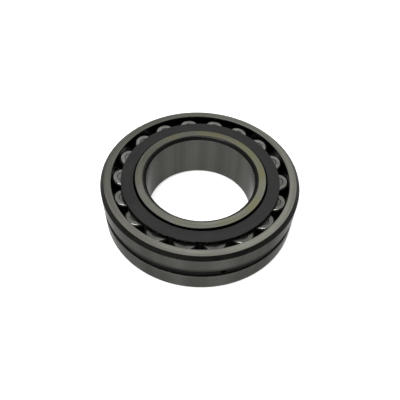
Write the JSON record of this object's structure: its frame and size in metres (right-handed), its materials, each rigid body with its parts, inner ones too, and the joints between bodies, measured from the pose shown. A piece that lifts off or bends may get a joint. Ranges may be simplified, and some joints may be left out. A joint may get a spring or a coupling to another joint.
{
  "type": "spherical roller bearing",
  "caption": "Double-row spherical roller bearing: grooved outer ring, inner ring, guide ring, two pressed window cages and barrel rollers that roll, orbit and self-align.",
  "frame": {"origin": "the bearing's centre: on the bore axis, halfway between its side faces", "axes": "+Z along the bore axis, +X and +Y across it; +X passes through the centre of an upper roller"},
  "size_m": [0.2, 0.2, 0.053],
  "materials": {
    "outer_ring_steel": "ground and honed bearing steel, warm grey, faint turning lines, semi-gloss",
    "inner_ring_steel": "ground bearing steel under a thin film of preserving oil, slightly olive grey, semi-gloss",
    "guide_ring_iron": "turned grey iron, matt",
    "cage_steel": "pressed sheet steel with a dark phosphate surface, charcoal, satin",
    "roller_steel": "hardened rollers, finely ground sides and turned, shallow-dished ends, light grey, glossy"
  },
  "bodies": {
    "outer_ring": {"outer_ring": "outer_ring_steel"},
    "guide_ring": {"guide_ring": "guide_ring_iron"},
    "inner_ring": {"inner_ring": "inner_ring_steel"},
    "cage_upper": {"cage_upper": "cage_steel"},
    "cage_lower": {"cage_lower": "cage_steel"},
    "roller_upper_01": {"roller_upper_01": "roller_steel"},
    "roller_upper_02": {"roller_upper_02": "roller_steel"},
    "roller_upper_03": {"roller_upper_03": "roller_steel"},
    "roller_upper_04": {"roller_upper_04": "roller_steel"},
    "roller_upper_05": {"roller_upper_05": "roller_steel"},
    "roller_upper_06": {"roller_upper_06": "roller_steel"},
    "roller_upper_07": {"roller_upper_07": "roller_steel"},
    "roller_upper_08": {"roller_upper_08": "roller_steel"},
    "roller_upper_09": {"roller_upper_09": "roller_steel"},
    "roller_upper_10": {"roller_upper_10": "roller_steel"},
    "roller_upper_11": {"roller_upper_11": "roller_steel"},
    "roller_upper_12": {"roller_upper_12": "roller_steel"},
    "roller_upper_13": {"roller_upper_13": "roller_steel"},
    "roller_upper_14": {"roller_upper_14": "roller_steel"},
    "roller_upper_15": {"roller_upper_15": "roller_steel"},
    "roller_upper_16": {"roller_upper_16": "roller_steel"},
    "roller_upper_17": {"roller_upper_17": "roller_steel"},
    "roller_upper_18": {"roller_upper_18": "roller_steel"},
    "roller_lower_01": {"roller_lower_01": "roller_steel"},
    "roller_lower_02": {"roller_lower_02": "roller_steel"},
    "roller_lower_03": {"roller_lower_03": "roller_steel"},
    "roller_lower_04": {"roller_lower_04": "roller_steel"},
    "roller_lower_05": {"roller_lower_05": "roller_steel"},
    "roller_lower_06": {"roller_lower_06": "roller_steel"},
    "roller_lower_07": {"roller_lower_07": "roller_steel"},
    "roller_lower_08": {"roller_lower_08": "roller_steel"},
    "roller_lower_09": {"roller_lower_09": "roller_steel"},
    "roller_lower_10": {"roller_lower_10": "roller_steel"},
    "roller_lower_11": {"roller_lower_11": "roller_steel"},
    "roller_lower_12": {"roller_lower_12": "roller_steel"},
    "roller_lower_13": {"roller_lower_13": "roller_steel"},
    "roller_lower_14": {"roller_lower_14": "roller_steel"},
    "roller_lower_15": {"roller_lower_15": "roller_steel"},
    "roller_lower_16": {"roller_lower_16": "roller_steel"},
    "roller_lower_17": {"roller_lower_17": "roller_steel"},
    "roller_lower_18": {"roller_lower_18": "roller_steel"}
  },
  "joints": [
    {"name": "misalignment_tilt", "type": "hinge", "parent": "outer_ring", "child": "guide_ring", "pos_m": [0, 0, 0], "axis": [1, 0, 0], "range_deg": [-2, 2]},
    {"name": "inner_ring_spin", "type": "hinge", "parent": "guide_ring", "child": "inner_ring", "pos_m": [0, 0, 0], "axis": [0, 0, 1], "continuous": true},
    {"name": "cage_upper_orbit", "type": "hinge", "parent": "guide_ring", "child": "cage_upper", "pos_m": [0, 0, 0], "axis": [0, 0, 1], "continuous": true},
    {"name": "cage_lower_orbit", "type": "hinge", "parent": "guide_ring", "child": "cage_lower", "pos_m": [0, 0, 0], "axis": [0, 0, 1], "continuous": true},
    {"name": "roller_upper_01_spin", "type": "hinge", "parent": "cage_upper", "child": "roller_upper_01", "pos_m": [0.07943, 0, 0.01244], "axis": [-0.1547, 0, 0.988], "continuous": true},
    {"name": "roller_upper_02_spin", "type": "hinge", "parent": "cage_upper", "child": "roller_upper_02", "pos_m": [0.07464, 0.02717, 0.01244], "axis": [-0.1454, -0.0529, 0.988], "continuous": true},
    {"name": "roller_upper_03_spin", "type": "hinge", "parent": "cage_upper", "child": "roller_upper_03", "pos_m": [0.06085, 0.05106, 0.01244], "axis": [-0.1185, -0.0994, 0.988], "continuous": true},
    {"name": "roller_upper_04_spin", "type": "hinge", "parent": "cage_upper", "child": "roller_upper_04", "pos_m": [0.03972, 0.06879, 0.01244], "axis": [-0.0774, -0.134, 0.988], "continuous": true},
    {"name": "roller_upper_05_spin", "type": "hinge", "parent": "cage_upper", "child": "roller_upper_05", "pos_m": [0.01379, 0.07823, 0.01244], "axis": [-0.0269, -0.1524, 0.988], "continuous": true},
    {"name": "roller_upper_06_spin", "type": "hinge", "parent": "cage_upper", "child": "roller_upper_06", "pos_m": [-0.01379, 0.07823, 0.01244], "axis": [0.0269, -0.1524, 0.988], "continuous": true},
    {"name": "roller_upper_07_spin", "type": "hinge", "parent": "cage_upper", "child": "roller_upper_07", "pos_m": [-0.03972, 0.06879, 0.01244], "axis": [0.0774, -0.134, 0.988], "continuous": true},
    {"name": "roller_upper_08_spin", "type": "hinge", "parent": "cage_upper", "child": "roller_upper_08", "pos_m": [-0.06085, 0.05106, 0.01244], "axis": [0.1185, -0.0994, 0.988], "continuous": true},
    {"name": "roller_upper_09_spin", "type": "hinge", "parent": "cage_upper", "child": "roller_upper_09", "pos_m": [-0.07464, 0.02717, 0.01244], "axis": [0.1454, -0.0529, 0.988], "continuous": true},
    {"name": "roller_upper_10_spin", "type": "hinge", "parent": "cage_upper", "child": "roller_upper_10", "pos_m": [-0.07943, 0, 0.01244], "axis": [0.1547, 0, 0.988], "continuous": true},
    {"name": "roller_upper_11_spin", "type": "hinge", "parent": "cage_upper", "child": "roller_upper_11", "pos_m": [-0.07464, -0.02717, 0.01244], "axis": [0.1454, 0.0529, 0.988], "continuous": true},
    {"name": "roller_upper_12_spin", "type": "hinge", "parent": "cage_upper", "child": "roller_upper_12", "pos_m": [-0.06085, -0.05106, 0.01244], "axis": [0.1185, 0.0994, 0.988], "continuous": true},
    {"name": "roller_upper_13_spin", "type": "hinge", "parent": "cage_upper", "child": "roller_upper_13", "pos_m": [-0.03972, -0.06879, 0.01244], "axis": [0.0774, 0.134, 0.988], "continuous": true},
    {"name": "roller_upper_14_spin", "type": "hinge", "parent": "cage_upper", "child": "roller_upper_14", "pos_m": [-0.01379, -0.07823, 0.01244], "axis": [0.0269, 0.1524, 0.988], "continuous": true},
    {"name": "roller_upper_15_spin", "type": "hinge", "parent": "cage_upper", "child": "roller_upper_15", "pos_m": [0.01379, -0.07823, 0.01244], "axis": [-0.0269, 0.1524, 0.988], "continuous": true},
    {"name": "roller_upper_16_spin", "type": "hinge", "parent": "cage_upper", "child": "roller_upper_16", "pos_m": [0.03972, -0.06879, 0.01244], "axis": [-0.0774, 0.134, 0.988], "continuous": true},
    {"name": "roller_upper_17_spin", "type": "hinge", "parent": "cage_upper", "child": "roller_upper_17", "pos_m": [0.06085, -0.05106, 0.01244], "axis": [-0.1185, 0.0994, 0.988], "continuous": true},
    {"name": "roller_upper_18_spin", "type": "hinge", "parent": "cage_upper", "child": "roller_upper_18", "pos_m": [0.07464, -0.02717, 0.01244], "axis": [-0.1454, 0.0529, 0.988], "continuous": true},
    {"name": "roller_lower_01_spin", "type": "hinge", "parent": "cage_lower", "child": "roller_lower_01", "pos_m": [0.07823, 0.01379, -0.01244], "axis": [0.1524, 0.0269, 0.988], "continuous": true},
    {"name": "roller_lower_02_spin", "type": "hinge", "parent": "cage_lower", "child": "roller_lower_02", "pos_m": [0.06879, 0.03972, -0.01244], "axis": [0.134, 0.0774, 0.988], "continuous": true},
    {"name": "roller_lower_03_spin", "type": "hinge", "parent": "cage_lower", "child": "roller_lower_03", "pos_m": [0.05106, 0.06085, -0.01244], "axis": [0.0994, 0.1185, 0.988], "continuous": true},
    {"name": "roller_lower_04_spin", "type": "hinge", "parent": "cage_lower", "child": "roller_lower_04", "pos_m": [0.02717, 0.07464, -0.01244], "axis": [0.0529, 0.1454, 0.988], "continuous": true},
    {"name": "roller_lower_05_spin", "type": "hinge", "parent": "cage_lower", "child": "roller_lower_05", "pos_m": [0, 0.07943, -0.01244], "axis": [0, 0.1547, 0.988], "continuous": true},
    {"name": "roller_lower_06_spin", "type": "hinge", "parent": "cage_lower", "child": "roller_lower_06", "pos_m": [-0.02717, 0.07464, -0.01244], "axis": [-0.0529, 0.1454, 0.988], "continuous": true},
    {"name": "roller_lower_07_spin", "type": "hinge", "parent": "cage_lower", "child": "roller_lower_07", "pos_m": [-0.05106, 0.06085, -0.01244], "axis": [-0.0994, 0.1185, 0.988], "continuous": true},
    {"name": "roller_lower_08_spin", "type": "hinge", "parent": "cage_lower", "child": "roller_lower_08", "pos_m": [-0.06879, 0.03972, -0.01244], "axis": [-0.134, 0.0774, 0.988], "continuous": true},
    {"name": "roller_lower_09_spin", "type": "hinge", "parent": "cage_lower", "child": "roller_lower_09", "pos_m": [-0.07823, 0.01379, -0.01244], "axis": [-0.1524, 0.0269, 0.988], "continuous": true},
    {"name": "roller_lower_10_spin", "type": "hinge", "parent": "cage_lower", "child": "roller_lower_10", "pos_m": [-0.07823, -0.01379, -0.01244], "axis": [-0.1524, -0.0269, 0.988], "continuous": true},
    {"name": "roller_lower_11_spin", "type": "hinge", "parent": "cage_lower", "child": "roller_lower_11", "pos_m": [-0.06879, -0.03972, -0.01244], "axis": [-0.134, -0.0774, 0.988], "continuous": true},
    {"name": "roller_lower_12_spin", "type": "hinge", "parent": "cage_lower", "child": "roller_lower_12", "pos_m": [-0.05106, -0.06085, -0.01244], "axis": [-0.0994, -0.1185, 0.988], "continuous": true},
    {"name": "roller_lower_13_spin", "type": "hinge", "parent": "cage_lower", "child": "roller_lower_13", "pos_m": [-0.02717, -0.07464, -0.01244], "axis": [-0.0529, -0.1454, 0.988], "continuous": true},
    {"name": "roller_lower_14_spin", "type": "hinge", "parent": "cage_lower", "child": "roller_lower_14", "pos_m": [0, -0.07943, -0.01244], "axis": [0, -0.1547, 0.988], "continuous": true},
    {"name": "roller_lower_15_spin", "type": "hinge", "parent": "cage_lower", "child": "roller_lower_15", "pos_m": [0.02717, -0.07464, -0.01244], "axis": [0.0529, -0.1454, 0.988], "continuous": true},
    {"name": "roller_lower_16_spin", "type": "hinge", "parent": "cage_lower", "child": "roller_lower_16", "pos_m": [0.05106, -0.06085, -0.01244], "axis": [0.0994, -0.1185, 0.988], "continuous": true},
    {"name": "roller_lower_17_spin", "type": "hinge", "parent": "cage_lower", "child": "roller_lower_17", "pos_m": [0.06879, -0.03972, -0.01244], "axis": [0.134, -0.0774, 0.988], "continuous": true},
    {"name": "roller_lower_18_spin", "type": "hinge", "parent": "cage_lower", "child": "roller_lower_18", "pos_m": [0.07823, -0.01379, -0.01244], "axis": [0.1524, -0.0269, 0.988], "continuous": true}
  ],
  "couplings": [
    {"joint": "cage_upper_orbit", "follows": "inner_ring_spin", "ratio": 0.426},
    {"joint": "cage_lower_orbit", "follows": "inner_ring_spin", "ratio": 0.426},
    {"joint": "roller_upper_01_spin", "follows": "inner_ring_spin", "ratio": -3.2644},
    {"joint": "roller_upper_02_spin", "follows": "inner_ring_spin", "ratio": -3.2644},
    {"joint": "roller_upper_03_spin", "follows": "inner_ring_spin", "ratio": -3.2644},
    {"joint": "roller_upper_04_spin", "follows": "inner_ring_spin", "ratio": -3.2644},
    {"joint": "roller_upper_05_spin", "follows": "inner_ring_spin", "ratio": -3.2644},
    {"joint": "roller_upper_06_spin", "follows": "inner_ring_spin", "ratio": -3.2644},
    {"joint": "roller_upper_07_spin", "follows": "inner_ring_spin", "ratio": -3.2644},
    {"joint": "roller_upper_08_spin", "follows": "inner_ring_spin", "ratio": -3.2644},
    {"joint": "roller_upper_09_spin", "follows": "inner_ring_spin", "ratio": -3.2644},
    {"joint": "roller_upper_10_spin", "follows": "inner_ring_spin", "ratio": -3.2644},
    {"joint": "roller_upper_11_spin", "follows": "inner_ring_spin", "ratio": -3.2644},
    {"joint": "roller_upper_12_spin", "follows": "inner_ring_spin", "ratio": -3.2644},
    {"joint": "roller_upper_13_spin", "follows": "inner_ring_spin", "ratio": -3.2644},
    {"joint": "roller_upper_14_spin", "follows": "inner_ring_spin", "ratio": -3.2644},
    {"joint": "roller_upper_15_spin", "follows": "inner_ring_spin", "ratio": -3.2644},
    {"joint": "roller_upper_16_spin", "follows": "inner_ring_spin", "ratio": -3.2644},
    {"joint": "roller_upper_17_spin", "follows": "inner_ring_spin", "ratio": -3.2644},
    {"joint": "roller_upper_18_spin", "follows": "inner_ring_spin", "ratio": -3.2644},
    {"joint": "roller_lower_01_spin", "follows": "inner_ring_spin", "ratio": -3.2644},
    {"joint": "roller_lower_02_spin", "follows": "inner_ring_spin", "ratio": -3.2644},
    {"joint": "roller_lower_03_spin", "follows": "inner_ring_spin", "ratio": -3.2644},
    {"joint": "roller_lower_04_spin", "follows": "inner_ring_spin", "ratio": -3.2644},
    {"joint": "roller_lower_05_spin", "follows": "inner_ring_spin", "ratio": -3.2644},
    {"joint": "roller_lower_06_spin", "follows": "inner_ring_spin", "ratio": -3.2644},
    {"joint": "roller_lower_07_spin", "follows": "inner_ring_spin", "ratio": -3.2644},
    {"joint": "roller_lower_08_spin", "follows": "inner_ring_spin", "ratio": -3.2644},
    {"joint": "roller_lower_09_spin", "follows": "inner_ring_spin", "ratio": -3.2644},
    {"joint": "roller_lower_10_spin", "follows": "inner_ring_spin", "ratio": -3.2644},
    {"joint": "roller_lower_11_spin", "follows": "inner_ring_spin", "ratio": -3.2644},
    {"joint": "roller_lower_12_spin", "follows": "inner_ring_spin", "ratio": -3.2644},
    {"joint": "roller_lower_13_spin", "follows": "inner_ring_spin", "ratio": -3.2644},
    {"joint": "roller_lower_14_spin", "follows": "inner_ring_spin", "ratio": -3.2644},
    {"joint": "roller_lower_15_spin", "follows": "inner_ring_spin", "ratio": -3.2644},
    {"joint": "roller_lower_16_spin", "follows": "inner_ring_spin", "ratio": -3.2644},
    {"joint": "roller_lower_17_spin", "follows": "inner_ring_spin", "ratio": -3.2644},
    {"joint": "roller_lower_18_spin", "follows": "inner_ring_spin", "ratio": -3.2644}
  ]
}
